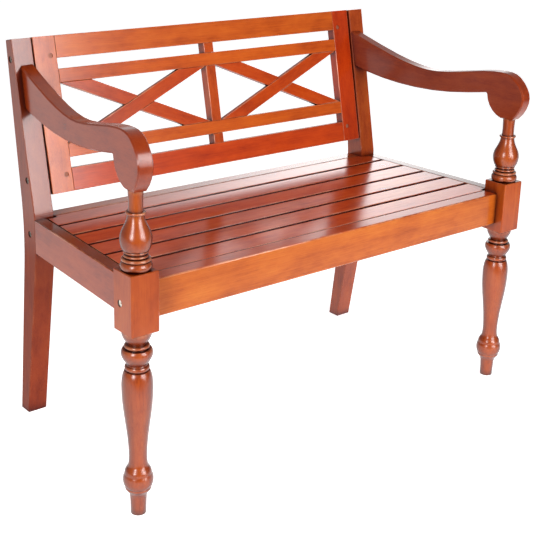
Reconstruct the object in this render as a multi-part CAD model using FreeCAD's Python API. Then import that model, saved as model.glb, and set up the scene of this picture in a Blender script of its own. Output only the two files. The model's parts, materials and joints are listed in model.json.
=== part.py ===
import FreeCAD, Part
import math
import os

# A two-seat wooden bench with turned front legs, curved arms, a slatted seat and a
# crossed back panel. It comes apart into two side frames, two cross rails and the
# back panel, which bolts draw together through the posts and the leg blocks.
# +X is to the right of the bench, +Y to its back and +Z up. All sizes are in mm.

V = FreeCAD.Vector
UP = V(0, 0, 1)
ACROSS = V(1, 0, 0)
BACK = V(0, 1, 0)

# Whole bench
overall_width = 980.0
overall_height = 765.0
rear_taper = 42.0
frame_depth = 406.0
seat_height = 430.0

# Joints and edges, the same all over the bench
joint_clearance = 0.2
tenon_end_gap = 1.0
overrun = 5.0
edge_chamfer = 1.4
fine_chamfer = 1.0

# How far a curve that is drawn with straight cuts may lie from the true one
outline_deflection = 0.35
bore_deflection = 0.15

# Front legs: a square block between two turned lengths
block_side = 55.0
block_height = 108.0
block_rise = 23.0
block_chamfer = 1.5
arm_post_height = 135.0
leg_tenon_radius = 8.0
leg_tenon_length = 22.0
turning_sides = 24

# Rear posts: sawn to a bend at the seat and tapered both ways from it
post_width = 41.0
post_top_depth = 23.0
post_seat_depth = 43.0
post_foot_depth = 30.0
post_rake_angle = 11.6
post_foot_lean = 58.0
post_bend_margin = 8.0
post_bend_round = 60.0
post_back_round = 600.0

# Rails of the seat frame
rail_height = 68.0
rail_thickness = 31.0
side_rail_thickness = 25.0
front_rail_setback = 20.0
side_rail_setback = 20.0
rear_rail_setback = 6.0
rail_tenon_thickness = 10.0
rail_tenon_height = 46.0
rail_tenon_length = 16.0
cross_tenon_thickness = 14.0
cross_tenon_height = 46.0
cross_tenon_length = 10.0

# Seat slats and what carries them
slat_count = 6
slat_thickness = 14.0
slat_gap = 8.0
slat_joint_gap = 1.0
slat_end_gap = 1.5
slat_notch_gap = 5.0
slat_chamfer = 1.1
cleat_width = 20.0
cleat_height = 20.0
cleat_end_gap = 6.0
bearer_width = 42.0
bearer_tenon_length = 8.0
bearer_tenon_shoulder = 5.0

# Arms: sawn from one board, with a rounded hand over the front leg
arm_thickness = 28.0
arm_rise = 128.0
hand_reach = 37.0
hand_heel_reach = 53.5
hand_height = 96.0
hand_seat_width = 30.0
hand_notch_round = 4.0
arm_chamfer = 2.4
arm_tenon_thickness = 12.0
arm_tenon_height = 44.0
arm_tenon_length = 14.0

# Back panel: a frame of its own between the rear posts
panel_gap = 3.5
panel_rise = 42.0
panel_thickness = 21.0
panel_top_recess = 3.5
stile_width = 47.5
crest_height = 43.0
bottom_rail_height = 45.0
slot_height = 20.5
inner_rail_height = 27.0
muntin_width = 25.0
panel_tenon_thickness = 8.0
panel_tenon_length = 20.0
outer_tenon_height = 21.0
outer_tenon_shoulder = 7.0
inner_tenon_shoulder = 5.0
muntin_tenon_length = 12.0

# Crossed braces in the two bays of the panel
brace_width = 27.0
brace_thickness = 13.0
brace_setback = 0.5
brace_tenon_thickness = 6.0
brace_tenon_share = 0.57
brace_tenon_length = 8.0

# Connector bolts and their barrel nuts
bolt_radius = 3.0
bolt_hole_radius = 3.4
bolt_head_radius = 6.2
bolt_head_height = 3.0
bolt_head_recess = 2.5
bolt_socket_radius = 2.3
bolt_socket_sides = 6
bolt_socket_depth = 2.0
bolt_past_nut = 3.0
nut_radius = 4.6
nut_length = 15.0
nut_inset = 26.0
nut_recess = 1.2
stile_nut_inset = 34.0

# Turned outlines, from the bottom up. Each step is a line to a point, an arc
# through one point to another, or a smooth curve through several. A point is a
# radius, as a share of half the block, and a height, as a share of the length.
foot_turning_shares = [
    ("line", (0.486, 0.000)),
    ("curve", (0.505, 0.050), (0.520, 0.080), (0.600, 0.119)),
    ("line", (0.800, 0.142)),
    ("line", (0.840, 0.157)),
    ("curve", (0.945, 0.182), (0.968, 0.203), (0.875, 0.231)),
    ("line", (0.822, 0.256)),
    ("curve", (0.683, 0.272), (0.600, 0.293)),
    ("curve", (0.577, 0.325), (0.601, 0.374), (0.670, 0.439), (0.876, 0.569), (0.957, 0.633),
     (0.982, 0.692), (0.963, 0.720), (0.905, 0.752), (0.804, 0.779)),
    ("line", (0.690, 0.785)),
    ("line", (0.755, 0.789)),
    ("arc", (0.785, 0.801), (0.745, 0.812)),
    ("line", (0.620, 0.820)),
    ("line", (0.690, 0.828)),
    ("arc", (0.984, 0.874), (0.790, 0.912)),
    ("line", (0.740, 0.915)),
    ("line", (0.735, 0.927)),
    ("line", (0.620, 0.930)),
    ("curve", (0.745, 0.946), (0.880, 0.962), (0.970, 0.988), (0.970, 1.000)),
]
arm_post_turning_shares = [
    ("line", (0.850, 0.000)),
    ("arc", (0.984, 0.036), (0.840, 0.070)),
    ("arc", (0.915, 0.096), (0.780, 0.121)),
    ("line", (0.690, 0.125)),
    ("arc", (0.750, 0.150), (0.690, 0.174)),
    ("line", (0.610, 0.178)),
    ("line", (0.620, 0.206)),
    ("arc", (0.728, 0.232), (0.700, 0.250)),
    ("curve", (0.829, 0.279), (0.933, 0.313), (0.984, 0.365), (0.957, 0.424), (0.837, 0.489),
     (0.653, 0.569), (0.524, 0.649), (0.475, 0.690)),
    ("line", (0.590, 0.695)),
    ("arc", (0.610, 0.705), (0.590, 0.715)),
    ("line", (0.455, 0.720)),
    ("curve", (0.430, 0.850), (0.470, 1.000)),
]

# Arm outline. The hand's places are shares of its reach, to the front or to the
# heel, and of its height. The arm's are shares of the run from the front leg to
# the rear post and of the arm's rise, and they run on past the post.
hand_top_share = (0.560, 1.000)
hand_crown_shares = [(-0.100, 0.955), (-0.660, 0.780)]
hand_nose_share = 0.520
hand_chin_shares = [(-0.830, 0.210)]
hand_heel_shares = [(0.740, 0.165), (0.930, 0.340)]
hand_notch_share = 0.505
arm_top_shares = [(0.195, 0.697), (0.336, 0.610), (0.4545, 0.569), (0.575, 0.600), (0.738, 0.722),
                  (0.884, 0.870), (1.000, 1.000), (1.060, 1.075)]
arm_under_shares = [(0.250, 0.303), (0.350, 0.256), (0.443, 0.230), (0.568, 0.222),
                    (0.690, 0.241), (0.810, 0.288), (0.962, 0.380), (1.060, 0.455)]
arm_tenon_height_share = 0.680

# Places worked out from the sizes. The rear posts lean back above the seat and
# the panel leans with them, a little steeper.
rake = math.radians(post_rake_angle)
rear_width = overall_width - 2 * rear_taper
block_top = seat_height + block_rise
block_bottom = block_top - block_height
arm_under = block_top + arm_post_height
rail_bottom = seat_height - rail_height
rail_middle = seat_height - rail_height / 2
upper_bend = seat_height + post_bend_margin
lower_bend = rail_bottom - post_bend_margin
post_lean = (overall_height - upper_bend) * math.tan(rake)
overall_depth = hand_reach - block_side / 2 + frame_depth + post_lean + post_top_depth * math.cos(rake)

block_front = hand_reach - block_side / 2 - overall_depth / 2
block_back = block_front + block_side
block_inner = overall_width / 2 - block_side
leg_x = overall_width / 2 - block_side / 2
leg_y = block_front + block_side / 2
post_front = block_front + frame_depth
post_inner = rear_width / 2 - post_width
post_x = rear_width / 2 - post_width / 2
front_rail_front = block_front + front_rail_setback
front_rail_back = front_rail_front + rail_thickness
rear_rail_front = post_front + rear_rail_setback
rear_rail_back = rear_rail_front + rail_thickness
front_rail_middle = (front_rail_front + front_rail_back) / 2
rear_rail_middle = (rear_rail_front + rear_rail_back) / 2
slat_bottom = seat_height - slat_thickness

panel_bottom = seat_height + panel_rise
panel_foot_y = post_front + (panel_bottom - upper_bend) * math.tan(rake)
panel_drop = overall_height - panel_bottom
panel_run = panel_drop * math.tan(rake) + panel_top_recess
panel_height = math.hypot(panel_drop, panel_run)
panel_lean = math.atan2(panel_run, panel_drop)
panel_half = post_inner - panel_gap
stile_inner = panel_half - stile_width
lower_rail_bottom = bottom_rail_height + slot_height
bay_bottom = lower_rail_bottom + inner_rail_height
crest_bottom = panel_height - crest_height
bay_top = crest_bottom - slot_height - inner_rail_height

# The braces run from corner to corner of a bay, with one edge in each corner
bay_width = stile_inner - muntin_width / 2
bay_diagonal = math.hypot(bay_width, bay_top - bay_bottom)
brace_lean = math.atan2(bay_top - bay_bottom, bay_width) + math.asin(brace_width / bay_diagonal)


def box(x0, x1, y0, y1, z0, z1):
    """A block between two corners."""
    return Part.makeBox(x1 - x0, y1 - y0, z1 - z0, V(x0, y0, z0))


def grown(x0, x1, y0, y1, z0, z1, by):
    """A block between two corners, larger by a clearance on every side."""
    return box(x0 - by, x1 + by, y0 - by, y1 + by, z0 - by, z1 + by)


def plate(points, direction, thickness):
    """A flat outline of straight sides, pushed along a direction."""
    wire = Part.makePolygon(points + points[:1])
    return Part.Face(wire).extrude(direction * thickness)


def drawn(curve, deflection):
    """The points that draw a curve with straight cuts."""
    return curve.discretize(Deflection=deflection)


def rod(radius, start, direction, length):
    """A small round bar or bore. Flat faces draw its rim, so that it stays light."""
    rim = drawn(Part.makeCircle(radius, start, direction), bore_deflection)
    return plate(rim[:-1], direction, length)


def smooth(points):
    curve = Part.BSplineCurve()
    curve.interpolate(points)
    return curve.toShape()


def mirrored(shape):
    """The same piece for the left side of the bench."""
    return shape.mirror(V(0, 0, 0), ACROSS)


def edges_along(solid, direction, least):
    """The straight edges that run along a direction and are long enough to matter."""
    found = []
    for edge in solid.Edges:
        run = edge.Vertexes[-1].Point - edge.Vertexes[0].Point
        if run.Length > least and abs(run.normalize().dot(direction)) > math.cos(math.radians(1)):
            found.append(edge)
    return found


def eased_box(x0, x1, y0, y1, z0, z1, direction, chamfer):
    """A block whose long edges, along one direction, are eased."""
    solid = box(x0, x1, y0, y1, z0, z1)
    return solid.makeChamfer(chamfer, edges_along(solid, direction, overrun))


def side_line(y, inset):
    """How far out the side rail's outer face lies at y, less an inset from that face."""
    front_x = overall_width / 2 - side_rail_setback
    share = (y - block_back) / (post_front - block_back)
    return front_x + (rear_width / 2 - front_x) * share - inset


def turning_outline(steps, base, length):
    """The outline of a turned length in the plane through the leg's axis, with straight cuts."""
    def place(share):
        return V(leg_x + share[0] * block_side / 2, leg_y, base + share[1] * length)

    outline = [place(steps[0][-1])]
    for step in steps[1:]:
        points = [place(share) for share in step[1:]]
        here = outline[-1]
        if step[0] == "line":
            outline.append(points[0])
        elif step[0] == "arc":
            outline += drawn(Part.Arc(here, points[0], points[1]).toShape(), outline_deflection)[1:]
        else:
            outline += drawn(smooth([here] + points), outline_deflection)[1:]
    return outline


def turned(steps, base, length):
    """A turned length on the leg's axis. Flat faces draw its round, so that it stays light."""
    middle = V(leg_x, leg_y, 0)
    rings = []
    for point in turning_outline(steps, base, length):
        turns = [FreeCAD.Rotation(UP, 360 * (side + 0.5) / turning_sides) for side in range(turning_sides)]
        rings.append([middle + turn.multVec(point - middle) for turn in turns])
    faces = [Part.Face(Part.makePolygon(ring + ring[:1])) for ring in (rings[0], rings[-1])]
    for low, high in zip(rings, rings[1:]):
        for side in range(turning_sides):
            corners = [low[side - 1], low[side], high[side], high[side - 1]]
            faces.append(Part.Face(Part.makePolygon(corners + corners[:1])))
    shell = Part.Shell(faces)
    shell.sewShape()
    return Part.Solid(shell)


def rail_tenon(length, by):
    """The side rail's tongue, which runs into the leg block and the rear post."""
    inset = (side_rail_thickness - rail_tenon_thickness) / 2 - by
    thickness = rail_tenon_thickness + 2 * by
    y0 = block_back - length
    y1 = post_front + length
    z0 = rail_middle - rail_tenon_height / 2 - by
    outline = [V(side_line(y0, inset), y0, z0), V(side_line(y1, inset), y1, z0),
               V(side_line(y1, inset + thickness), y1, z0), V(side_line(y0, inset + thickness), y0, z0)]
    return plate(outline, UP, rail_tenon_height + 2 * by)


def rail_mortise():
    return rail_tenon(rail_tenon_length + tenon_end_gap, joint_clearance)


def cross_tenon(x, y, by, end):
    """The stub tongue at the right end of a cross rail, which keeps the rail from turning."""
    half = cross_tenon_thickness / 2 + by
    rise = cross_tenon_height / 2 + by
    return box(x - by, x + cross_tenon_length + end, y - half, y + half, rail_middle - rise,
               rail_middle + rise)


def cross_mortise(x, y):
    return cross_tenon(x, y, joint_clearance, tenon_end_gap)


def arm_frame(shape):
    """Turns a shape drawn straight back from the leg's axis to aim at the rear post."""
    splay = math.degrees(math.atan2(leg_x - post_x, post_front - leg_y))
    shape.rotate(V(leg_x, leg_y, 0), UP, splay)
    return shape


def arm_run():
    """The distance from the leg's axis back to the rear post, at the top of the arm."""
    top = arm_under + arm_rise
    reach = post_front + (top - upper_bend) * math.tan(rake) - leg_y
    return math.hypot(reach, leg_x - post_x)


def arm_tenon(by, end):
    """The arm's tongue in the rear post."""
    middle = arm_under + arm_rise * arm_tenon_height_share
    face = post_front + (middle - upper_bend) * math.tan(rake)
    half = arm_tenon_thickness / 2 + by
    rise = arm_tenon_height / 2 + by
    tongue = box(leg_x - half, leg_x + half, face - arm_tenon_length, face + arm_tenon_length + end,
                 middle - rise, middle + rise)
    return arm_frame(tongue)


def behind_posts():
    """All that lies behind the raked front faces of the rear posts."""
    height = 2 * overall_height
    outline = [V(0, post_front, upper_bend), V(0, post_front + height * math.tan(rake), upper_bend + height),
               V(0, post_front + 2 * height, upper_bend + height), V(0, post_front + 2 * height, upper_bend)]
    return plate(outline, ACROSS, overall_width)


def socket_bolt(head_x, y, z, end_x):
    """A bolt along X with a flat head outside and a hexagon socket in it."""
    head = rod(bolt_head_radius, V(head_x, y, z), -ACROSS, bolt_head_height)
    shank = rod(bolt_radius, V(head_x, y, z), -ACROSS, head_x - end_x)
    turns = [math.tau * side / bolt_socket_sides for side in range(bolt_socket_sides)]
    corners = [V(head_x, y + bolt_socket_radius * math.cos(turn), z + bolt_socket_radius * math.sin(turn))
               for turn in turns]
    socket = plate(corners, -ACROSS, bolt_socket_depth)
    return head.fuse(shank).removeSplitter().cut(socket)


def bolt_hole(outer_x, y, z, inner_x):
    """The hole for a bolt, with a counterbore that lets the head in below the face."""
    shaft = rod(bolt_hole_radius, V(outer_x + overrun, y, z), -ACROSS, outer_x + overrun - inner_x)
    sunk = bolt_head_recess + bolt_head_height
    bore = rod(bolt_head_radius + joint_clearance, V(outer_x + overrun, y, z), -ACROSS, overrun + sunk)
    return shaft.fuse(bore)


def nut_body(start, inward, recess):
    """A barrel nut let in from a face, before its cross hole is drilled."""
    return rod(nut_radius, start + inward * recess, inward, nut_length)


def nut_hole(start, inward, recess):
    deep = recess + nut_length + tenon_end_gap
    return rod(nut_radius + joint_clearance, start - inward * overrun, inward, overrun + deep)


def panel_place(shape):
    """Leans a shape drawn upright at the origin back to the panel's place."""
    shape.rotate(V(0, 0, 0), ACROSS, -math.degrees(panel_lean))
    shape.translate(V(0, panel_foot_y, panel_bottom))
    return shape


def bolted_joints():
    """Each bolt on the right: its outer face, y and z, its nut's x, and how the nut is let in."""
    rail_recess = (rail_thickness - nut_length) / 2
    front_nut = V(block_inner - nut_inset, front_rail_back, rail_middle)
    rear_nut = V(post_inner - nut_inset, rear_rail_front, rail_middle)
    joints = [(overall_width / 2, front_rail_middle, rail_middle, front_nut, -BACK, rail_recess),
              (rear_width / 2, rear_rail_middle, rail_middle, rear_nut, BACK, rail_recess)]
    inward = V(0, math.cos(panel_lean), -math.sin(panel_lean))
    for up in (bottom_rail_height * 3 / 4, panel_height - crest_height * 7 / 8):
        nut = V(panel_half - stile_nut_inset, panel_foot_y + up * math.sin(panel_lean),
                panel_bottom + up * math.cos(panel_lean))
        middle = nut + inward * (panel_thickness / 2)
        joints.append((rear_width / 2, middle.y, middle.z, nut, inward, nut_recess))
    return joints


def bolts_and_holes():
    """The bolts, the nuts and what is drilled for both, on the right side."""
    bolts = []
    nuts = []
    holes = []
    for outer, y, z, start, inward, recess in bolted_joints():
        end = start.x - nut_radius - bolt_past_nut
        head = outer - bolt_head_recess
        bolts.append(socket_bolt(head, y, z, end))
        cross_hole = rod(bolt_radius + joint_clearance, V(head, y, z), -ACROSS, head - end + overrun)
        nuts.append(nut_body(start, inward, recess).cut(cross_hole))
        holes.append(bolt_hole(outer, y, z, end - tenon_end_gap))
        holes.append(nut_hole(start, inward, recess))
    return bolts, nuts, holes


def slat_rows():
    """The front and back of each slat, from the front of the seat to its back."""
    first = front_rail_back + slat_joint_gap
    last = rear_rail_front - slat_joint_gap
    pitch = (last - first + slat_gap) / slat_count
    return [(first + pitch * row, first + pitch * (row + 1) - slat_gap) for row in range(slat_count)]


def drilled(solid, tools):
    """A solid with every tool that reaches it taken away."""
    near = [tool for tool in tools if tool.BoundBox.intersect(solid.BoundBox)]
    return solid.cut(near) if near else solid


def front_leg():
    block = box(block_inner, overall_width / 2, block_front, block_back, block_bottom, block_top)
    block = block.makeChamfer(block_chamfer, block.Edges)
    foot = turned(foot_turning_shares, 0, block_bottom)
    post = turned(arm_post_turning_shares, block_top, arm_post_height)
    tenon = rod(leg_tenon_radius, V(leg_x, leg_y, arm_under), UP, leg_tenon_length)
    leg = block.fuse([foot, post, tenon]).removeSplitter()
    return leg.cut([rail_mortise(), cross_mortise(block_inner, front_rail_middle)])


def rear_post():
    top = V(0, math.cos(rake), -math.sin(rake)) * post_top_depth
    crown = V(0, post_front + post_lean, overall_height)
    outline = [V(0, post_front, lower_bend), V(0, post_front, upper_bend), crown, crown + top,
               V(0, post_front + post_seat_depth, rail_middle),
               V(0, post_front + post_foot_lean + post_foot_depth, 0), V(0, post_front + post_foot_lean, 0)]
    outline = [point + ACROSS * post_inner for point in outline]
    post = plate(outline, ACROSS, post_width)
    post = rounded_at(post, post_front, (lower_bend, upper_bend), post_bend_round)
    post = rounded_at(post, post_front + post_seat_depth, (rail_middle,), post_back_round)
    post = post.makeChamfer(edge_chamfer, side_edges(post, (post_inner, rear_width / 2)))
    return post.cut([rail_mortise(), cross_mortise(post_inner, rear_rail_middle),
                     arm_tenon(joint_clearance, tenon_end_gap)])


def rounded_at(solid, y, heights, radius):
    """Rounds the corners that run across a solid at y and at the given heights."""
    chosen = []
    for edge in edges_along(solid, ACROSS, overrun):
        middle = edge.CenterOfMass
        if abs(middle.y - y) < joint_clearance and min(abs(middle.z - z) for z in heights) < joint_clearance:
            chosen.append(edge)
    return solid.makeFillet(radius, chosen)


def side_edges(solid, places):
    """The edges that bound a solid's two flat sides, which stand across X at the places."""
    chosen = []
    for edge in solid.Edges:
        bounds = edge.BoundBox
        if bounds.XLength < joint_clearance and min(abs(bounds.XMin - x) for x in places) < joint_clearance:
            chosen.append(edge)
    return chosen


def side_rail():
    def corner(y, inset):
        return V(side_line(y, inset), y, rail_bottom)

    outline = [corner(block_back, 0), corner(post_front, 0), corner(post_front, side_rail_thickness),
               corner(block_back, side_rail_thickness)]
    rail = plate(outline, UP, rail_height)
    along = (outline[1] - outline[0]).normalize()
    rail = rail.makeChamfer(edge_chamfer, edges_along(rail, along, overrun))
    return rail.fuse(rail_tenon(rail_tenon_length, 0)).removeSplitter()


def cross_rail(half, front, back):
    """A straight rail across the bench, with mortises for the bearer's tenons."""
    rail = eased_box(-half, half, front, back, rail_bottom, seat_height, ACROSS, edge_chamfer)
    tongue = cross_tenon(half, (front + back) / 2, 0, 0)
    rail = rail.fuse([tongue, mirrored(tongue)]).removeSplitter()
    return rail.cut(bearer_tenon(joint_clearance, tenon_end_gap))


def bearer_tenon(by, end):
    """The bearer's thinner length, which runs into both cross rails."""
    half = bearer_width / 2 - bearer_tenon_shoulder + by
    return box(-half, half, front_rail_back - bearer_tenon_length - end,
               rear_rail_front + bearer_tenon_length + end,
               slat_bottom - cleat_height + bearer_tenon_shoulder - by,
               slat_bottom - bearer_tenon_shoulder + by)


def bearer():
    body = box(-bearer_width / 2, bearer_width / 2, front_rail_back, rear_rail_front,
               slat_bottom - cleat_height, slat_bottom)
    return body.fuse(bearer_tenon(0, 0)).removeSplitter()


def cleat():
    def corner(y, inset):
        return V(side_line(y, inset), y, slat_bottom - cleat_height)

    y0 = block_back + cleat_end_gap
    y1 = post_front - cleat_end_gap
    inner = side_rail_thickness + cleat_width
    outline = [corner(y0, side_rail_thickness), corner(y1, side_rail_thickness), corner(y1, inner),
               corner(y0, inner)]
    return plate(outline, UP, cleat_height)


def seat_slat(front, back):
    """One slat, whose ends follow the side rails and stand clear of the legs and posts."""
    inset = side_rail_thickness + slat_end_gap
    front_half = side_line(front, inset)
    back_half = side_line(back, inset)
    outline = [V(-front_half, front, slat_bottom), V(front_half, front, slat_bottom),
               V(back_half, back, slat_bottom), V(-back_half, back, slat_bottom)]
    slat = plate(outline, UP, slat_thickness)
    top = [edge for edge in edges_along(slat, ACROSS, overrun) if edge.CenterOfMass.z > slat_bottom]
    slat = slat.makeChamfer(slat_chamfer, top)
    wide = overall_width / 2
    z0 = slat_bottom - overrun
    z1 = seat_height + overrun
    notches = []
    for side in (-1, 1):
        leg_edge = side * (block_inner - slat_notch_gap)
        post_edge = side * (post_inner - slat_notch_gap)
        notches.append(box(min(leg_edge, side * wide), max(leg_edge, side * wide), block_front,
                           block_back + slat_notch_gap, z0, z1))
        notches.append(box(min(post_edge, side * wide), max(post_edge, side * wide),
                           post_front - slat_notch_gap, rear_rail_back, z0, z1))
    return drilled(slat, notches)


def arm():
    """An arm from its sawn outline: the hand, the top line and the underside."""
    run = arm_run()

    def hand(share):
        reach = hand_heel_reach if share[0] > 0 else hand_reach
        return V(leg_x, leg_y + share[0] * reach, arm_under + share[1] * hand_height)

    def along(share):
        return V(leg_x, leg_y + share[0] * run, arm_under + share[1] * arm_rise)

    nose = hand((-1, hand_nose_share))
    notch = hand((1, hand_notch_share))
    seat_front = V(leg_x, leg_y - hand_seat_width / 2, arm_under)
    seat_back = V(leg_x, leg_y + hand_seat_width / 2, arm_under)
    top_points = [along(share) for share in reversed(arm_top_shares)]
    crown_points = [hand(share) for share in [hand_top_share] + hand_crown_shares]
    chin_points = [hand(share) for share in hand_chin_shares]
    heel_points = [hand(share) for share in hand_heel_shares]
    under_points = [along(share) for share in arm_under_shares]
    over_points = top_points + crown_points + [nose] + chin_points + [seat_front]
    outline = drawn(smooth(over_points), outline_deflection)
    outline += drawn(smooth([seat_back] + heel_points + [notch]), outline_deflection)
    outline += drawn(smooth([notch] + under_points), outline_deflection)[1:]
    board = plate([point - ACROSS * (arm_thickness / 2) for point in outline], ACROSS, arm_thickness)
    inside_corner = [edge for edge in edges_along(board, ACROSS, overrun)
                     if edge.CenterOfMass.distanceToPoint(notch) < joint_clearance]
    board = board.makeFillet(hand_notch_round, inside_corner)
    sides = (leg_x - arm_thickness / 2, leg_x + arm_thickness / 2)
    board = board.makeChamfer(arm_chamfer, side_edges(board, sides))
    hole = rod(leg_tenon_radius + joint_clearance, V(leg_x, leg_y, arm_under - overrun), UP,
               leg_tenon_length + overrun + tenon_end_gap)
    return arm_frame(board.cut(hole)).cut(behind_posts()).fuse(arm_tenon(0, 0)).removeSplitter()


def stile_tenon(bottom, height, by, end):
    """The right tongue of a panel rail, in the stile beside it."""
    middle = panel_thickness / 2
    half = panel_tenon_thickness / 2 + by
    return box(stile_inner - end, stile_inner + panel_tenon_length + end, middle - half, middle + half,
               bottom - by, bottom + height + by)


def rail_tenon_places():
    """The bottom and the height of the tenons of the four panel rails."""
    inner_height = inner_rail_height - 2 * inner_tenon_shoulder
    return [(outer_tenon_shoulder, outer_tenon_height),
            (lower_rail_bottom + inner_tenon_shoulder, inner_height),
            (bay_top + inner_tenon_shoulder, inner_height),
            (panel_height - outer_tenon_shoulder - outer_tenon_height, outer_tenon_height)]


def stile():
    post = eased_box(stile_inner, panel_half, 0, panel_thickness, 0, panel_height, UP, fine_chamfer)
    return post.cut([stile_tenon(bottom, height, joint_clearance, tenon_end_gap)
                     for bottom, height in rail_tenon_places()])


def panel_rail(bottom, top, tenon_place):
    rail = eased_box(-stile_inner, stile_inner, 0, panel_thickness, bottom, top, ACROSS, fine_chamfer)
    tongue = stile_tenon(tenon_place[0], tenon_place[1], 0, 0)
    return rail.fuse([tongue, mirrored(tongue)]).removeSplitter()


def muntin_tenons(by, end):
    half = muntin_width / 2 - inner_tenon_shoulder + by
    middle = panel_thickness / 2
    thick = panel_tenon_thickness / 2 + by
    return box(-half, half, middle - thick, middle + thick, bottom_rail_height - muntin_tenon_length - end,
               crest_bottom + muntin_tenon_length + end)


def inner_rail(bottom, tenon_place):
    """A rail of the bays, which runs whole across the front of the middle upright."""
    rail = panel_rail(bottom, bottom + inner_rail_height, tenon_place)
    half = muntin_width / 2 + joint_clearance
    lap = box(-half, half, panel_thickness / 2, panel_thickness + overrun, bottom - overrun,
              bottom + inner_rail_height + overrun)
    return rail.cut([lap] + brace_tenons(joint_clearance, tenon_end_gap))


def muntin():
    upright = eased_box(-muntin_width / 2, muntin_width / 2, 0, panel_thickness, bottom_rail_height,
                        crest_bottom, UP, fine_chamfer)
    laps = [grown(-muntin_width, muntin_width, -overrun, panel_thickness / 2, bottom,
                  bottom + inner_rail_height, joint_clearance) for bottom in (lower_rail_bottom, bay_top)]
    return upright.fuse(muntin_tenons(0, 0)).cut(laps).removeSplitter()


def brace_bar(rising, y0, y1, width):
    """A long bar through the middle of the right bay, at the braces' angle."""
    bar = box(-bay_diagonal, bay_diagonal, y0, y1, -width / 2, width / 2)
    bar.rotate(V(0, 0, 0), BACK, math.degrees(-brace_lean if rising else brace_lean))
    bar.translate(V((muntin_width / 2 + stile_inner) / 2, 0, (bay_bottom + bay_top) / 2))
    return bar


def brace_tenon(corner_x, toward, up, by, end):
    """A brace's tongue in the rail above or below, beside a corner of the bay."""
    y = brace_setback + brace_thickness / 2
    half = brace_tenon_thickness / 2 + by
    footing = brace_width / math.sin(brace_lean)
    near = corner_x + toward * footing * (1 - brace_tenon_share) / 2
    far = corner_x + toward * footing * (1 + brace_tenon_share) / 2
    if up:
        z0 = bay_top - brace_tenon_thickness
        z1 = bay_top + brace_tenon_length + end
    else:
        z0 = bay_bottom - brace_tenon_length - end
        z1 = bay_bottom + brace_tenon_thickness
    return box(min(near, far) - by, max(near, far) + by, y - half, y + half, z0, z1)


def brace_tenons(by, end):
    """All the braces' tongues in the inner rails, in both bays."""
    found = []
    for up in (False, True):
        for corner, toward in ((muntin_width / 2, 1), (stile_inner, -1)):
            tongue = brace_tenon(corner, toward, up, by, end)
            found += [tongue, mirrored(tongue)]
    return found


def brace(rising):
    """One brace of the right bay. The rising one crosses in front of the other."""
    front = brace_setback
    back = brace_setback + brace_thickness
    bay = box(muntin_width / 2, stile_inner, 0, panel_thickness, bay_bottom, bay_top)
    bar = brace_bar(rising, front, back, brace_width).common(bay)
    tongues = [brace_tenon(muntin_width / 2, 1, not rising, 0, 0), brace_tenon(stile_inner, -1, rising, 0, 0)]
    middle = (front + back) / 2
    if rising:
        lap = brace_bar(False, middle, back + overrun, brace_width + 2 * joint_clearance)
    else:
        lap = brace_bar(True, front - overrun, middle, brace_width + 2 * joint_clearance)
    return bar.fuse(tongues).removeSplitter().cut(lap)


def side_pieces():
    """The pieces that come in pairs, as they are on the right side."""
    return {
        "front_leg": front_leg(),
        "rear_post": rear_post(),
        "side_rail": side_rail(),
        "arm": arm(),
        "seat_cleat": cleat(),
        "back_stile": panel_place(stile()),
    }


def middle_pieces():
    """The pieces that cross the middle of the bench."""
    low, lower_inner, upper_inner, high = rail_tenon_places()
    uprights = muntin_tenons(joint_clearance, tenon_end_gap)
    return {
        "front_rail": cross_rail(block_inner, front_rail_front, front_rail_back),
        "rear_rail": cross_rail(post_inner, rear_rail_front, rear_rail_back),
        "seat_bearer": bearer(),
        "crest_rail": panel_place(panel_rail(crest_bottom, panel_height, high).cut(uprights)),
        "bottom_rail": panel_place(panel_rail(0, bottom_rail_height, low).cut(uprights)),
        "upper_inner_rail": panel_place(inner_rail(bay_top, upper_inner)),
        "lower_inner_rail": panel_place(inner_rail(lower_rail_bottom, lower_inner)),
        "centre_muntin": panel_place(muntin()),
    }


def bay_pieces():
    """The crossed braces, which lie the same way round in both bays."""
    pieces = {}
    for side, shift in (("right", 0), ("left", -muntin_width / 2 - stile_inner)):
        for name, rising in (("rising_brace_", True), ("falling_brace_", False)):
            shape = brace(rising)
            shape.translate(ACROSS * shift)
            pieces[name + side] = panel_place(shape)
    return pieces


def both_sides(shapes):
    return shapes + [mirrored(shape) for shape in shapes]


def build():
    bolts, nuts, bores = bolts_and_holes()
    holes = both_sides(bores)
    pieces = {}
    for name, shape in side_pieces().items():
        pieces[name + "_right"] = drilled(shape, holes)
        pieces[name + "_left"] = mirrored(pieces[name + "_right"])
    for name, shape in middle_pieces().items():
        pieces[name] = drilled(shape, holes)
    pieces.update(bay_pieces())
    for row, (front, back) in enumerate(slat_rows()):
        pieces["seat_slat_%d" % (row + 1)] = seat_slat(front, back)
    pieces["connector_bolts"] = Part.makeCompound(both_sides(bolts))
    pieces["barrel_nuts"] = Part.makeCompound(both_sides(nuts))
    return pieces


def centred(pieces):
    """Stands the pieces with the middle of their whole outline over the origin."""
    whole = Part.makeCompound(list(pieces.values())).optimalBoundingBox(False, False)
    for shape in pieces.values():
        shape.translate(V(0, -(whole.YMin + whole.YMax) / 2, 0))
    return pieces


os.makedirs("parts", exist_ok=True)
for name, shape in centred(build()).items():
    shape.exportStep(os.path.join("parts", name + ".step"))
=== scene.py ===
import bmesh
import bpy
import json
import math
from mathutils import Matrix, Vector

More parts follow.
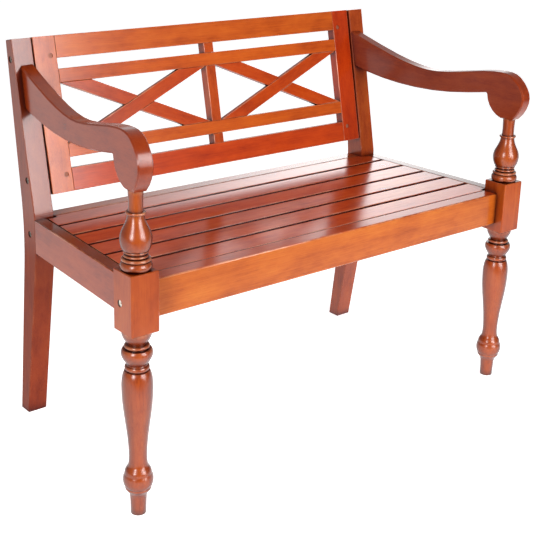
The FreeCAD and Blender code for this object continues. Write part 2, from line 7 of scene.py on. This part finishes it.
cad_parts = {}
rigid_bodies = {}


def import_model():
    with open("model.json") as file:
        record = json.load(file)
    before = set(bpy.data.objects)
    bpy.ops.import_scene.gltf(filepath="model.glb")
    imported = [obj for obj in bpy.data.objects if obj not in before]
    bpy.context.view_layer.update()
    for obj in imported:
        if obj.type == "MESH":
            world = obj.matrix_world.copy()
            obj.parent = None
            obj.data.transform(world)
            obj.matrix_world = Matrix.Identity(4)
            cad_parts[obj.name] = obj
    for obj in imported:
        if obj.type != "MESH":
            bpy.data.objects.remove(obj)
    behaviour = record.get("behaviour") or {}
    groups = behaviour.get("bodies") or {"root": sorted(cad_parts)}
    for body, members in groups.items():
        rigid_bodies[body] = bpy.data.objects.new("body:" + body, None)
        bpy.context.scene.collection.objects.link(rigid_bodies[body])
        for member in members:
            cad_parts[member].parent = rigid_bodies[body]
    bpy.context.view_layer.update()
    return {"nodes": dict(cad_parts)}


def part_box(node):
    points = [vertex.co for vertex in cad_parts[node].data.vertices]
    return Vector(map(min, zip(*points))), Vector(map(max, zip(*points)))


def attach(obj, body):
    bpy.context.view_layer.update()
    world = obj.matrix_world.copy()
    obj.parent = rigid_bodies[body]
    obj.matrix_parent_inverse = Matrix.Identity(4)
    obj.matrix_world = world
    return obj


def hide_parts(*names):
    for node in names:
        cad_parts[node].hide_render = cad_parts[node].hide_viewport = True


# The looks of the bench: varnished hardwood with its grain along each piece, steel
# bolts, a pale floor and soft light. Lengths are in metres.

X = Vector((1, 0, 0))
Y = Vector((0, 1, 0))
Z = Vector((0, 0, 1))

for thing in list(bpy.data.objects):
    bpy.data.objects.remove(thing)
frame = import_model()
nodes = frame["nodes"]
scene = bpy.context.scene
scene.view_settings.view_transform = "Standard"

# Camera, from the lines of the photograph
IMAGE_SIDE = 533
SENSOR = 36.0
FOCAL_PIXELS = 1108.7
HORIZON_SHIFT = -0.1248
CAMERA_PLACE = Vector((-1.3754, -1.6538, 1.1009))
CAMERA_AZIMUTH = 39.46
CAMERA_PITCH = -17.23
CAMERA_ROLL = 1.55
CAMERA_REACH = 100

# Light: soft boxes and white surroundings. A lamp is given by its name, its turn from the
# bench's front towards its right side, its height in degrees, its width, its own height
# and its power; a grid narrows its beam. A glow is a bright part of the surroundings: its
# turn, its height, its sharpness and its strength.
LAMP_DISTANCE = 2.7
LAMP_TARGET = Vector((0, 0, 0.45))
LAMP_SPREAD = 90
LAMPS = (
    ("left", -63, 18, 0.60, 1.50, 12.8),
    ("right", 1, 18, 0.60, 1.50, 10.6),
    ("low", 17.0, 18, 0.50, 2.60, 15.6),
)
GLOWS = ((0, 0, 0, 0.14), (180, 10, 1, 0.25), (137, 13, 90, 4.6), (135, 45, 10, 0.2))

# The floor is brightest around the bench and fades along a slanted line in front of it.
# Each stop is a place on that line, the strength of the floor's faint glow there and
# its lightness. Wide soft clouds change the lightness a little.
FLOOR_LINE = Vector((0.15, 1, 0))
FLOOR_STOPS = ((-1.10, 0.0, 0.40), (-0.67, 0.76, 0.95))
FLOOR_CLOUD_SCALE = 1.5
FLOOR_CLOUDS = ((0.3, 0.99), (0.7, 1.0))
FLOOR_ROUGHNESS = 0.8
FLOOR_HALF_SIDE = 40
FLOOR_CELLS = 8

# The front legs: heights where they pass from turned to square and back, half the
# side of their stock, and their turned outlines from the bottom up. Each step is a
# line to a point, an arc through one point to another, or a smooth curve through
# several. A point is a share of the half side and a share of the turned height.
BLOCK_BOTTOM = 0.345
BLOCK_TOP = 0.453
ARM_UNDER = 0.588
HALF_STOCK = 0.0275
FOOT_TURNING = [
    ("line", (0.486, 0.000)),
    ("curve", (0.500, 0.040), (0.520, 0.075), (0.545, 0.100), (0.590, 0.116)),
    ("line", (0.800, 0.139)),
    ("arc", (0.835, 0.145), (0.825, 0.152)),
    ("curve", (0.890, 0.162), (0.945, 0.176), (0.968, 0.193), (0.940, 0.212), (0.872, 0.227)),
    ("curve", (0.858, 0.236), (0.826, 0.246), (0.750, 0.258), (0.660, 0.269), (0.605, 0.285), (0.580, 0.310),
     (0.580, 0.340), (0.605, 0.380), (0.670, 0.439), (0.771, 0.504), (0.876, 0.569), (0.955, 0.635),
     (0.984, 0.700), (0.976, 0.725), (0.945, 0.750), (0.885, 0.773), (0.800, 0.790)),
    ("line", (0.690, 0.794)),
    ("line", (0.735, 0.797)),
    ("arc", (0.775, 0.808), (0.730, 0.818)),
    ("curve", (0.660, 0.821), (0.640, 0.826)),
    ("curve", (0.700, 0.832), (0.775, 0.841), (0.880, 0.856), (0.955, 0.870), (0.984, 0.883), (0.965, 0.897),
     (0.900, 0.907)),
    ("line", (0.690, 0.909)),
    ("line", (0.690, 0.912)),
    ("line", (0.750, 0.914)),
    ("arc", (0.790, 0.921), (0.740, 0.929)),
    ("line", (0.610, 0.932)),
    ("curve", (0.640, 0.939), (0.715, 0.948), (0.790, 0.958), (0.900, 0.977), (0.960, 1.000)),
]
POST_TURNING = [
    ("line", (0.840, 0.000)),
    ("arc", (0.984, 0.056), (0.850, 0.112)),
    ("line", (0.800, 0.115)),
    ("arc", (0.905, 0.136), (0.790, 0.158)),
    ("line", (0.680, 0.162)),
    ("arc", (0.765, 0.181), (0.690, 0.200)),
    ("curve", (0.640, 0.206), (0.650, 0.214)),
    ("line", (0.700, 0.218)),
    ("arc", (0.765, 0.232), (0.740, 0.246)),
    ("curve", (0.830, 0.262), (0.925, 0.310), (0.984, 0.385), (0.965, 0.435), (0.900, 0.480), (0.805, 0.522),
     (0.690, 0.570), (0.600, 0.615), (0.540, 0.662), (0.515, 0.702)),
    ("line", (0.600, 0.706)),
    ("arc", (0.625, 0.720), (0.600, 0.734)),
    ("line", (0.455, 0.738)),
    ("curve", (0.440, 0.850), (0.470, 1.000)),
]
# How finely the turned lengths are drawn, and the least angle that stays a crease
TURNING_SIDES = 72
ARC_STEPS = 12
CURVE_STEPS = 5
TURNING_CREASE = math.radians(26)
# How far the lengths of a leg reach into one another, and the post into the arm
TURNED_LAP = 0.001
BLOCK_LAP = 0.0002
ARM_LAP = 0.0005

# Square pieces: the rounding of their edges. Edges that are shorter, nearly flat or
# folded back stay as they are.
EDGE_ROUND = 0.0013
ARM_EDGE_ROUND = 0.0016
SHORTEST_EDGE = 0.006
ROUNDED_ANGLES = (math.radians(35), math.radians(170))
ROUND_SEGMENTS = 2
WELD_DISTANCE = 1e-5
FLAT_ANGLE = math.radians(0.3)
CREASE_ANGLE = math.radians(50)
FACE_WEIGHT = 100

# Nodes by kind: metal, wooden, out of sight, and in the back panel. A brace's grain
# leans by these shares of the brace's width and height.
METAL_NODES = ("connector_bolts", "barrel_nuts")
WOODEN = [node for node in sorted(nodes) if node not in METAL_NODES]
HIDDEN = ("seat_bearer", "seat_cleat")
PANEL = ("stile", "crest", "bottom_rail", "inner_rail", "muntin", "brace")
BRACE_GRAIN = (0.92, 0.85)

# The looks of the materials. A stop is a place on a ramp with its value or its colour.
# The soft noises, of the gloss and of the floor, have the same detail.
WHITE = (1.0, 1.0, 1.0)
SOFT_DETAIL = 2.0

# The colour of each kind of piece under the varnish, for the middle of its grain
STAINS = {
    "front_leg": (0.310, 0.048, 0.004),
    # The left rear post is stained darker than the right one as painted shade.
    "rear_post_left": (0.180, 0.022, 0.003),
    "rear_post_right": (0.290, 0.042, 0.005),
    "arm": (0.215, 0.025, 0.003),
    "side_rail": (0.260, 0.032, 0.004),
    "front_rail": (0.375, 0.078, 0.007),
    "rear_rail": (0.300, 0.050, 0.010),
    "seat_slat": (0.410, 0.046, 0.006),
    "back_stile_left": (0.390, 0.064, 0.006),
    "back_stile_right": (0.360, 0.028, 0.001),
    "crest_rail": (0.395, 0.066, 0.005),
    "bottom_rail": (0.385, 0.036, 0.002),
    "inner_rail": (0.400, 0.062, 0.004),
    "centre_muntin": (0.360, 0.046, 0.003),
    "brace": (0.360, 0.038, 0.002),
    "seat_bearer": (0.250, 0.060, 0.020),
    "seat_cleat": (0.250, 0.060, 0.020),
}
# The colour of some upper faces, and how level a face is before it takes that colour.
# The front rail's top has the seat's tone; the side rails' darker top is a painted shadow of the arm.
TOP_STAINS_AND_SHADOW = {"front_rail": (0.340, 0.040, 0.006), "side_rail": (0.150, 0.022, 0.004)}
LEVEL_STOPS = ((0.5, 0.0), (0.8, 1.0))
# Turned lengths are a little darker, and carry a painted shade that darkens them where they turn away from
# the view
TURNED_SHARE = (0.90, 0.88, 0.80)
AWAY_SHADE_BLEND = 0.5
AWAY_SHADE_STOPS = ((0.06, WHITE), (0.72, (0.34, 0.18, 0.20)))

# Grain: shares of the stain for its dark and light lines and where they begin. Each
# noise has a length along the grain, a width across it, detail, roughness and
# distortion, and each layer of the colour says how far its noise moves it.
DARK_SHARE = (0.55, 0.38, 0.36)
LIGHT_SHARE = (1.25, 1.60, 1.75)
GRAIN_PLACES = (0.22, 0.50, 0.80)
NOISES = {
    "clouds": (0.10, 0.050, 3, 0.5, 0.0),
    "bands": (0.70, 0.016, 3, 0.5, 0.5),
    "mottle": (0.030, 0.014, 3, 0.6, 0.0),
    "streaks": (0.22, 0.0040, 3, 0.6, 0.0),
    "fibres": (0.040, 0.0009, 2, 0.5, 0.0),
    "pores": (0.014, 0.0007, 1, 0.5, 0.0),
    "patches": (0.05, 0.03, 4, 0.7, 0.0),
}
LAYERS = (("clouds", 0.55), ("bands", 0.34), ("mottle", 0.28), ("streaks", 0.24), ("fibres", 0.40))
NOISE_MIDDLE = 0.5
PORE_STOPS = ((0.28, 0.60), (0.38, 1.0))
PORE_WEIGHT = 0.45
# The grain of each piece starts at another place: a step per piece, and its range
GRAIN_STARTS = ((0.731, 1.7), (1.317, 2.3), (0.577, 1.9))

# Wear: a paler colour on rounded edges and on the ridges of the turnings, in patches
WORN = (0.560, 0.230, 0.110)
RIDGE_REACH = 0.009
RIDGE_RAYS = 4
RIDGE_STOPS = ((0.45, 0.90), (0.90, 0.0))
PATCH_STOPS = ((0.40, 0.05), (0.62, 0.80))

# Shade in corners and in narrow gaps. A gap has the openness where it is darkest and
# its shade there; the panel and the posts have lighter gaps, and the slats darker ones.
CORNER_REACH = 0.05
CORNER_RAYS = 4
CORNER_STOPS = ((0.40, (0.52, 0.32, 0.30)), (0.80, WHITE))
GAP_REACH = 0.014
GAP_RAYS = 6
GAP = (0.38, (0.14, 0.07, 0.07))
LIGHT_GAP = (0.38, (0.38, 0.22, 0.20))
DARK_GAP = (0.66, (0.10, 0.04, 0.04))
GAPS = {"slat": DARK_GAP, "rear_post": LIGHT_GAP, **dict.fromkeys(PANEL, LIGHT_GAP)}
GAP_END = (0.92, WHITE)

# Varnish: its roughness and index, its weight below and above the seat, the fine relief
# of the wood and the slow ripple of the gloss, both as a strength and a distance
GLOSS = (0.20, 1.50)
TURNED_GLOSS = (0.25, 1.56)
VARNISH = (1.0, 1.0)
VARNISHES = {"rear_post_left": (0.35, 1.0), **dict.fromkeys(HIDDEN, (0.1, 0.1))}
WOOD_INDEX = 1.45
WOOD_ROUGHNESS = ((0.3, 0.55), (0.7, 0.42))
RELIEF = (0.05, 0.0004)
RIPPLE = (0.02, 0.0015)
RIPPLE_SCALE = 45.0
RIPPLE_STREAKS = 0.12

# Metal: a name, a colour, a roughness and the share of the colour that is left at the
# bench's rear, as painted shade. The rear places below say where that painted shade sets in and where it is
# reached.
METALS = {
    "connector_bolts": ("bright_steel", (1.0, 0.93, 0.80), 0.40, 0.22),
    "barrel_nuts": ("dull_steel", (0.240, 0.065, 0.025), 0.50, 1.0),
}
METALLIC = 0.2
METAL_REAR_SHADE = (-0.1, 0.1)
METAL_SCALE = 900.0
METAL_DETAIL = 3.0
METAL_SPOTS = ((0.35, 0.8), (0.65, 1.0))
METAL_ROUGH_STOPS = ((0.3, 0.8), (0.7, 1.2))
# Painted shade where the steel sits in a recess: how far it reaches and its ramp
METAL_SHADE_REACH = 0.003
METAL_SHADE_STOPS = ((0.25, 0.02), (0.60, 1.0))


def set_camera():
    """The camera of the photograph."""
    data = bpy.data.cameras.new("camera")
    data.sensor_width = SENSOR
    data.lens = FOCAL_PIXELS / IMAGE_SIDE * SENSOR
    data.shift_y = HORIZON_SHIFT
    data.clip_end = CAMERA_REACH
    camera = bpy.data.objects.new("camera", data)
    scene.collection.objects.link(camera)
    turn = Matrix.Rotation(math.radians(-CAMERA_AZIMUTH), 4, "Z")
    tilt = Matrix.Rotation(math.radians(90 + CAMERA_PITCH), 4, "X")
    roll = Matrix.Rotation(math.radians(CAMERA_ROLL), 4, "Z")
    camera.matrix_world = Matrix.Translation(CAMERA_PLACE) @ turn @ tilt @ roll
    scene.camera = camera


class Shader:
    """A node material that is built one node at a time."""

    def __init__(self, name):
        self.material = bpy.data.materials.new(name)
        self.material.use_nodes = True
        self.tree = self.material.node_tree
        self.tree.nodes.clear()
        self.output = self.tree.nodes.new("ShaderNodeOutputMaterial")

    def node(self, kind, inputs=None, **settings):
        """A node. Each of its inputs is a value or another node's output."""
        made = self.tree.nodes.new("ShaderNode" + kind)
        for name, value in settings.items():
            setattr(made, name, value)
        for name, value in (inputs or {}).items():
            if isinstance(value, bpy.types.NodeSocket):
                self.tree.links.new(value, made.inputs[name])
            else:
                made.inputs[name].default_value = value
        return made

    def ramp(self, factor, stops):
        """A ramp through stops, whose values are greys or colours."""
        made = self.node("ValToRGB", {0: factor})
        band = made.color_ramp
        while len(band.elements) < len(stops):
            band.elements.new(0.5)
        for element, (place, colour) in zip(band.elements, stops):
            element.position = place
            element.color = (*colour, 1) if isinstance(colour, tuple) else (colour, colour, colour, 1)
        return made.outputs[0]

    def mix(self, factor, first, second, blend="MIX"):
        """Two colours, mixed by a factor."""
        made = self.node("Mix", data_type="RGBA", blend_type=blend)
        for name, value in (("Factor", factor), ("A", first), ("B", second)):
            socket = [s for s in made.inputs if s.name == name and s.enabled][0]
            if isinstance(value, bpy.types.NodeSocket):
                self.tree.links.new(value, socket)
            else:
                socket.default_value = (*value, 1) if isinstance(value, tuple) else value
        return [s for s in made.outputs if s.enabled][0]

    def darken(self, colour, shade, weight=1.0):
        """A colour times a shade."""
        return self.mix(weight, colour, shade, "MULTIPLY")

    def calc(self, operation, first, second):
        return self.node("Math", {0: first, 1: second}, operation=operation).outputs[0]

    def change(self, value, places, results, **settings):
        """A value that goes from one result to another between two places."""
        made = self.node("MapRange", {"Value": value, "From Min": places[0], "From Max": places[1],
                                      "To Min": results[0], "To Max": results[1]}, **settings)
        return made.outputs[0]

    def place(self):
        """The place on the object, in its own axes."""
        return self.node("TexCoord").outputs["Object"]

    def surface(self, kind):
        """A fact about the surface, such as its place or its direction in the scene."""
        return self.node("NewGeometry").outputs[kind]

    def axis(self, vector, name):
        return self.node("SeparateXYZ", {"Vector": vector}).outputs[name]

    def noise(self, vector, scale, detail, **inputs):
        """A cloudy noise from 0 to 1, mostly near its middle."""
        made = self.node("TexNoise", {"Vector": vector, "Scale": scale, "Detail": detail, **inputs})
        return made.outputs["Fac"]

    def openness(self, reach, rays, **settings):
        """How open the air, or the inside, is within a distance: 1 where nothing is near."""
        return self.node("AmbientOcclusion", {"Distance": reach}, samples=rays, **settings).outputs["AO"]

    def bump(self, height, strength, distance):
        return self.node("Bump", {"Height": height, "Strength": strength, "Distance": distance}).outputs[0]

    def finish(self, shader):
        """The material, with its surface joined to the output."""
        self.tree.links.new(shader.outputs[0], self.output.inputs["Surface"])
        return self.material


def of_kind(node, table, usual=None):
    """The entry of a table whose key is part of a node's name, or else the usual one."""
    return next((entry for kind, entry in table.items() if kind in node), usual)


def shaded(colour, share):
    """A colour with each of its channels lowered or raised by a share."""
    return tuple(c * s for c, s in zip(colour, share))


def grain_noises(shader, along, seed):
    """Noises that are drawn out along the grain."""
    turn = along.normalized().rotation_difference(X).to_euler()
    start = tuple(seed * step % span for step, span in GRAIN_STARTS)
    grain = shader.node("Mapping", {"Vector": shader.place(), "Rotation": tuple(turn), "Location": start})
    noises = {}
    for kind, (length, width, detail, roughness, distortion) in NOISES.items():
        scale = (1 / length, 1 / width, 1 / width)
        stretched = shader.node("Mapping", {"Vector": grain.outputs[0], "Scale": scale}).outputs[0]
        noises[kind] = shader.noise(stretched, 1.0, detail, Roughness=roughness, Distortion=distortion)
    return noises


def grain_colour(shader, noises, stain, top_stain_and_shadow):
    """A stain with its dark and light lines and its pores, and another colour on upper faces, which on the
    side rails is a painted shadow.
    """
    swings = [shader.calc("MULTIPLY", shader.calc("SUBTRACT", noises[kind], NOISE_MIDDLE), amount)
              for kind, amount in LAYERS]
    body = swings[0]
    for swing in swings[1:]:
        body = shader.calc("ADD", body, swing)
    body = shader.calc("ADD", body, NOISE_MIDDLE)

    def grained(middle):
        colours = (shaded(middle, DARK_SHARE), middle, shaded(middle, LIGHT_SHARE))
        return shader.ramp(body, list(zip(GRAIN_PLACES, colours)))

    colour = grained(stain)
    # Upper faces take another colour; on the side rails it is a painted shadow of the arm above.
    if top_stain_and_shadow:
        up = shader.ramp(shader.axis(shader.surface("True Normal"), "Z"), LEVEL_STOPS)
        colour = shader.mix(up, colour, grained(top_stain_and_shadow))
    return shader.darken(colour, shader.ramp(noises["pores"], PORE_STOPS), PORE_WEIGHT)


def wood(name, stain, along, seed, gap=GAP, varnish=VARNISH, top_stain_and_shadow=None, gloss=GLOSS, turned=False):
    """Stained hardwood under a satin varnish, whose grain runs along a direction.

    Square pieces are rubbed pale on their edges, and turned lengths on their ridges.
    """
    shader = Shader(name)
    noises = grain_noises(shader, along, seed)
    colour = grain_colour(shader, noises, stain, top_stain_and_shadow)
    if turned:
        # Painted shade: the turned surface is darkened where it turns away from the view.
        away = shader.node("LayerWeight", {"Blend": AWAY_SHADE_BLEND}).outputs["Facing"]
        colour = shader.darken(colour, shader.ramp(away, AWAY_SHADE_STOPS))
        inside = shader.openness(RIDGE_REACH, RIDGE_RAYS, inside=True, only_local=True)
        edge = shader.ramp(inside, RIDGE_STOPS)
    else:
        edge = shader.node("Attribute", attribute_name="wear").outputs["Fac"]
    rubbed = shader.calc("MULTIPLY", edge, shader.ramp(noises["patches"], PATCH_STOPS))
    colour = shader.mix(rubbed, colour, WORN)
    # Painted shade: the colour is darkened in corners and in narrow gaps, where little light reaches.
    colour = shader.darken(colour, shader.ramp(shader.openness(CORNER_REACH, CORNER_RAYS), CORNER_STOPS))
    colour = shader.darken(colour, shader.ramp(shader.openness(GAP_REACH, GAP_RAYS), (gap, GAP_END)))

    relief = shader.bump(shader.calc("ADD", noises["fibres"], noises["pores"]), *RELIEF)
    skin = shader.noise(shader.place(), RIPPLE_SCALE, SOFT_DETAIL)
    skin = shader.calc("ADD", skin, shader.calc("MULTIPLY", noises["streaks"], RIPPLE_STREAKS))
    height = shader.axis(shader.surface("Position"), "Z")
    gloss_roughness, gloss_index = gloss
    return shader.finish(shader.node("BsdfPrincipled", {
        "Base Color": colour,
        "Roughness": shader.ramp(noises["streaks"], WOOD_ROUGHNESS),
        "IOR": WOOD_INDEX,
        "Specular IOR Level": 0.0,
        "Normal": relief,
        "Coat Weight": shader.change(height, (BLOCK_BOTTOM, BLOCK_TOP), varnish),
        "Coat Roughness": gloss_roughness,
        "Coat IOR": gloss_index,
        "Coat Normal": shader.bump(skin, *RIPPLE),
    }))


def metal(name, colour, roughness, rear_shade_share):
    """Steel, with painted shade that darkens it in its recesses and may darken it towards the rear of the
    bench.
    """
    shader = Shader(name)
    fine = shader.noise(shader.place(), METAL_SCALE, METAL_DETAIL)
    shade = shader.ramp(fine, [(spot, shaded(colour, (share,) * 3)) for spot, share in METAL_SPOTS])
    # Painted shade in the recesses, and then towards the rear of the bench.
    shade = shader.darken(shade, shader.ramp(shader.openness(METAL_SHADE_REACH, GAP_RAYS), METAL_SHADE_STOPS))
    depth = shader.axis(shader.surface("Position"), "Y")
    shade = shader.darken(shade, shader.change(depth, METAL_REAR_SHADE, (1.0, rear_shade_share)))
    rough = shader.ramp(fine, [(spot, roughness * share) for spot, share in METAL_ROUGH_STOPS])
    return shader.finish(shader.node("BsdfPrincipled", {
        "Base Color": shade,
        "Metallic": METALLIC,
        "Roughness": rough,
    }))


def floor_material():
    """A pale floor that glows faintly around the bench and fades in front of it."""
    shader = Shader("floor")
    clouds = shader.ramp(shader.noise(shader.place(), FLOOR_CLOUD_SCALE, SOFT_DETAIL), FLOOR_CLOUDS)
    along = shader.node("VectorMath", {0: shader.surface("Position"), 1: FLOOR_LINE},
                        operation="DOT_PRODUCT").outputs["Value"]
    places, glows, lights = zip(*FLOOR_STOPS)
    glow, light = (shader.change(along, places, results, interpolation_type="SMOOTHSTEP")
                   for results in (glows, lights))
    return shader.finish(shader.node("BsdfPrincipled", {
        "Base Color": shader.calc("MULTIPLY", light, clouds),
        "Roughness": FLOOR_ROUGHNESS,
        "Emission Color": (*WHITE, 1),
        "Emission Strength": glow,
    }))


def add_piece(name, mesh, material, slot, *replaced):
    """A piece that rides the bench, in place of the CAD nodes that are named last."""
    mesh.materials.clear()
    mesh.materials.append(material)
    piece = bpy.data.objects.new(name, mesh)
    scene.collection.objects.link(piece)
    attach(piece, "root")
    if replaced:
        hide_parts(*replaced)
    return piece


def shade_curved(piece):
    """A sawn curve shades smoothly, and its flat sides stay flat."""
    for polygon in piece.data.polygons:
        polygon.use_smooth = True
    normals = piece.modifiers.new("normals", "WEIGHTED_NORMAL")
    normals.weight = FACE_WEIGHT
    normals.keep_sharp = True


def shade_straight(piece):
    """Flat faces stay flat, and only the rounded edges between them shade smoothly."""
    wear = piece.data.attributes["wear"].data
    for polygon in piece.data.polygons:
        polygon.use_smooth = wear[polygon.index].value > 0.5


def rounded_copy(node, radius):
    """A copy of a CAD node's shape, in whole faces and with its edges rounded.

    The rounded edges are marked as wear.
    """
    work = bmesh.new()
    work.from_mesh(nodes[node].data)
    bmesh.ops.remove_doubles(work, verts=work.verts, dist=WELD_DISTANCE)
    bmesh.ops.dissolve_limit(work, angle_limit=FLAT_ANGLE, verts=work.verts, edges=work.edges)
    least, most = ROUNDED_ANGLES
    chosen = [edge for edge in work.edges if len(edge.link_faces) == 2 and edge.calc_length() > SHORTEST_EDGE
              and least < edge.calc_face_angle(0) < most]
    bmesh.ops.bevel(work, geom=chosen, offset=radius, segments=ROUND_SEGMENTS, profile=0.5, affect="EDGES",
                    clamp_overlap=True, material=1)
    wear = work.faces.layers.float.new("wear")
    for face in work.faces:
        face[wear] = float(face.material_index == 1)
        face.material_index = 0
    mesh = bpy.data.meshes.new(node + "_dressed")
    work.to_mesh(mesh)
    work.free()
    mesh.set_sharp_from_angle(angle=CREASE_ANGLE)
    return mesh


def grain_of(node):
    """The direction of a piece's grain: its longest side, or a brace's slant."""
    low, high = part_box(node)
    size = high - low
    if node.startswith(("rising_brace", "falling_brace")):
        up = size.z if node.startswith("rising") else -size.z
        return Vector((size.x * BRACE_GRAIN[0], 0, up * BRACE_GRAIN[1]))
    return (X, Y, Z)[max(range(3), key=lambda axis: size[axis])]


def arc_points(start, middle, end):
    """Points along the circle through three points, after the first of them."""
    a, b = middle - start, end - start
    across = 2 * (a.x * b.y - a.y * b.x)
    centre = start + Vector((b.y * a.length_squared - a.y * b.length_squared,
                             a.x * b.length_squared - b.x * a.length_squared)) / across
    first, last = start - centre, end - centre
    turn = last.angle_signed(first)
    if (middle - centre).dot(first + last) < 0:
        turn -= math.copysign(math.tau, turn)
    return [centre + Matrix.Rotation(turn * step / ARC_STEPS, 2) @ first for step in range(1, ARC_STEPS + 1)]


def curve_points(points):
    """A smooth curve through points, after the first of them."""
    fine = []
    for k in range(len(points) - 1):
        a, b = points[k], points[k + 1]
        before = points[k - 1] if k else a - (b - a)
        after = points[k + 2] if k + 2 < len(points) else b + (b - a)
        span = (b - a).length
        into = (b - before) * (span / (b - before).length)
        out = (after - a) * (span / (after - a).length)
        for step in range(1, CURVE_STEPS + 1):
            t = step / CURVE_STEPS
            fine.append(a * (2 * t**3 - 3 * t**2 + 1) + into * (t**3 - 2 * t**2 + t)
                        + b * (3 * t**2 - 2 * t**3) + out * (t**3 - t**2))
    return fine


def turned_outline(steps, low, high):
    """The radius and height of each ring of a turned length, from the bottom up."""
    outline = []
    for kind, *shares in steps:
        points = [Vector((share * HALF_STOCK, low + up * (high - low))) for share, up in shares]
        if kind == "line":
            outline += points
        elif kind == "arc":
            outline += arc_points(outline[-1], *points)
        else:
            outline += curve_points([outline[-1]] + points)
    return outline


def turned_mesh(name, outline, middle):
    """A round length from its outline, closed at both ends."""
    work = bmesh.new()
    rings = []
    angles = [math.tau * side / TURNING_SIDES for side in range(TURNING_SIDES)]
    for radius, height in outline:
        corners = [(middle.x + radius * math.cos(a), middle.y + radius * math.sin(a), height) for a in angles]
        rings.append([work.verts.new(corner) for corner in corners])
    for low, high in zip(rings, rings[1:]):
        for side in range(TURNING_SIDES):
            work.faces.new((low[side - 1], low[side], high[side], high[side - 1]))
    work.faces.new(list(reversed(rings[0])))
    work.faces.new(rings[-1])
    mesh = bpy.data.meshes.new(name)
    work.to_mesh(mesh)
    work.free()
    for polygon in mesh.polygons:
        polygon.use_smooth = True
    mesh.set_sharp_from_angle(angle=TURNING_CREASE)
    return mesh


def square_length(node, low, high):
    """The part of a node between two heights, with its edges rounded."""
    mesh = rounded_copy(node, EDGE_ROUND)
    work = bmesh.new()
    work.from_mesh(mesh)
    for height, way in ((low, -Z), (high, Z)):
        everything = list(work.verts) + list(work.edges) + list(work.faces)
        bmesh.ops.bisect_plane(work, geom=everything, plane_co=Vector((0, 0, height)), plane_no=way,
                               clear_outer=True)
    work.to_mesh(mesh)
    work.free()
    return mesh


def dress_leg(node, material, turned):
    """A leg in three lengths: the turned foot, the square block and the turned post."""
    low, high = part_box(node)
    middle = (low + high) / 2
    foot = turned_outline(FOOT_TURNING, 0, BLOCK_BOTTOM)
    post = turned_outline(POST_TURNING, BLOCK_TOP, ARM_UNDER)
    foot.append(Vector((foot[-1].x, BLOCK_BOTTOM + TURNED_LAP)))
    post.insert(0, Vector((post[0].x, BLOCK_TOP - TURNED_LAP)))
    post.append(Vector((post[-1].x, ARM_UNDER + ARM_LAP)))
    block = square_length(node, BLOCK_BOTTOM - BLOCK_LAP, BLOCK_TOP + BLOCK_LAP)
    piece = add_piece("block_" + node, block, material, "varnished_wood", node)
    shade_straight(piece)
    for part, outline in (("foot", foot), ("post", post)):
        add_piece(part + "_" + node, turned_mesh(part, outline, middle), turned, "varnished_wood", node)


def dress():
    """Every node gets its material, and the wooden ones a finer shape."""
    for seed, node in enumerate(WOODEN):
        stain, grain = of_kind(node, STAINS), grain_of(node)
        material = wood("wood_" + node, stain, grain, seed, of_kind(node, GAPS, GAP),
                        of_kind(node, VARNISHES, VARNISH), of_kind(node, TOP_STAINS_AND_SHADOW))
        if node.startswith("front_leg"):
            turned = wood("turned_" + node, shaded(stain, TURNED_SHARE), grain, seed, gloss=TURNED_GLOSS,
                          turned=True)
            dress_leg(node, material, turned)
            continue
        curved = node.startswith("arm")
        mesh = rounded_copy(node, ARM_EDGE_ROUND if curved else EDGE_ROUND)
        slot = "hidden_wood" if node.startswith(HIDDEN) else "varnished_wood"
        piece = add_piece("dressed_" + node, mesh, material, slot, node)
        if curved:
            shade_curved(piece)
        else:
            shade_straight(piece)
    for node in METAL_NODES:
        nodes[node].data.materials.clear()
        nodes[node].data.materials.append(metal(*METALS[node]))


def heading(turn, height):
    """The direction at a turn from the bench's front towards its right side, and a height."""
    turn, height = math.radians(turn), math.radians(height)
    return Vector((math.sin(turn) * math.cos(height), -math.cos(turn) * math.cos(height), math.sin(height)))


def set_world():
    """Soft white surroundings with a few brighter parts."""
    world = bpy.data.worlds.new("studio")
    world.use_nodes = True
    tree = world.node_tree

    def step(operation, first, second):
        made = tree.nodes.new("ShaderNodeMath")
        made.operation = operation
        for socket, value in zip(made.inputs, (first, second)):
            if isinstance(value, bpy.types.NodeSocket):
                tree.links.new(value, socket)
            else:
                socket.default_value = value
        return made.outputs[0]

    way = tree.nodes.new("ShaderNodeTexCoord").outputs["Generated"]
    strength = 0.0
    for turn, height, sharpness, glow in GLOWS:
        toward = tree.nodes.new("ShaderNodeVectorMath")
        toward.operation = "DOT_PRODUCT"
        toward.inputs[1].default_value = heading(turn, height)
        tree.links.new(way, toward.inputs[0])
        near = step("POWER", step("MAXIMUM", toward.outputs["Value"], 0.0), sharpness)
        strength = step("ADD", strength, step("MULTIPLY", near, glow))
    background = tree.nodes["Background"]
    background.inputs["Color"].default_value = (*WHITE, 1)
    tree.links.new(strength, background.inputs["Strength"])
    scene.world = world


def set_stage():
    """The floor and the lamps."""
    mesh = bpy.data.meshes.new("floor")
    work = bmesh.new()
    bmesh.ops.create_grid(work, x_segments=FLOOR_CELLS, y_segments=FLOOR_CELLS, size=FLOOR_HALF_SIDE)
    work.to_mesh(mesh)
    work.free()
    mesh.materials.append(floor_material())
    floor = bpy.data.objects.new("floor", mesh)
    scene.collection.objects.link(floor)
    for name, turn, height, width, tall, power in LAMPS:
        data = bpy.data.lights.new(name, "AREA")
        data.shape = "RECTANGLE"
        data.size = width
        data.size_y = tall
        data.energy = power
        data.spread = math.radians(LAMP_SPREAD)
        lamp = bpy.data.objects.new(name, data)
        scene.collection.objects.link(lamp)
        way = heading(turn, height)
        lamp.location = LAMP_TARGET + way * LAMP_DISTANCE
        lamp.rotation_euler = (-way).to_track_quat("-Z", "Y").to_euler()


set_camera()
set_world()
set_stage()
dress()
